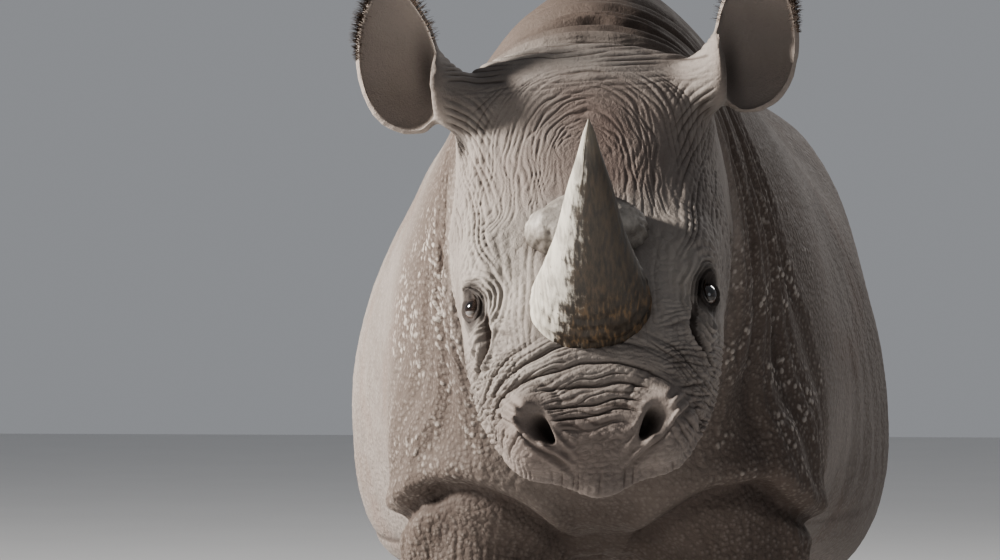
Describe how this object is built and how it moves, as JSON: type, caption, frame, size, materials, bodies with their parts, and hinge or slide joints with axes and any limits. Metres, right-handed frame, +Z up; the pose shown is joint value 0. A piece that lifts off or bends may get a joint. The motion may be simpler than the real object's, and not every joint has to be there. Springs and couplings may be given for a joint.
{
  "type": "black rhinoceros",
  "caption": "Life-size still model of a black rhinoceros standing square on all its feet, head lowered a little and ears turned forwards.",
  "frame": {"origin": "on the floor, under the middle of the animal's box", "axes": "+Y towards the tail along the body, +Z up, the head faces -Y, the animal's left side is +X"},
  "size_m": [0.9794, 2.8134, 1.5777],
  "materials": {
    "skin": "matte",
    "horn": "satin",
    "nail": "satin",
    "eye": "gloss",
    "hair": "matte"
  },
  "bodies": {
    "root": {"trunk": "skin", "neck": "skin", "head": "skin", "ear_left": "skin", "ear_right": "skin", "foreleg_left": "skin", "foreleg_right": "skin", "hindleg_left": "skin", "hindleg_right": "skin", "tail": "skin", "nail_foreleg_left_inner": "nail", "nail_foreleg_left_middle": "nail", "nail_foreleg_left_outer": "nail", "nail_foreleg_right_inner": "nail", "nail_foreleg_right_middle": "nail", "nail_foreleg_right_outer": "nail", "nail_hindleg_left_inner": "nail", "nail_hindleg_left_middle": "nail", "nail_hindleg_left_outer": "nail", "nail_hindleg_right_inner": "nail", "nail_hindleg_right_middle": "nail", "nail_hindleg_right_outer": "nail", "eye_left": "eye", "eye_right": "eye", "horn_front": "horn", "horn_rear": "horn", "tail_tuft": "hair"}
  },
  "joints": []
}
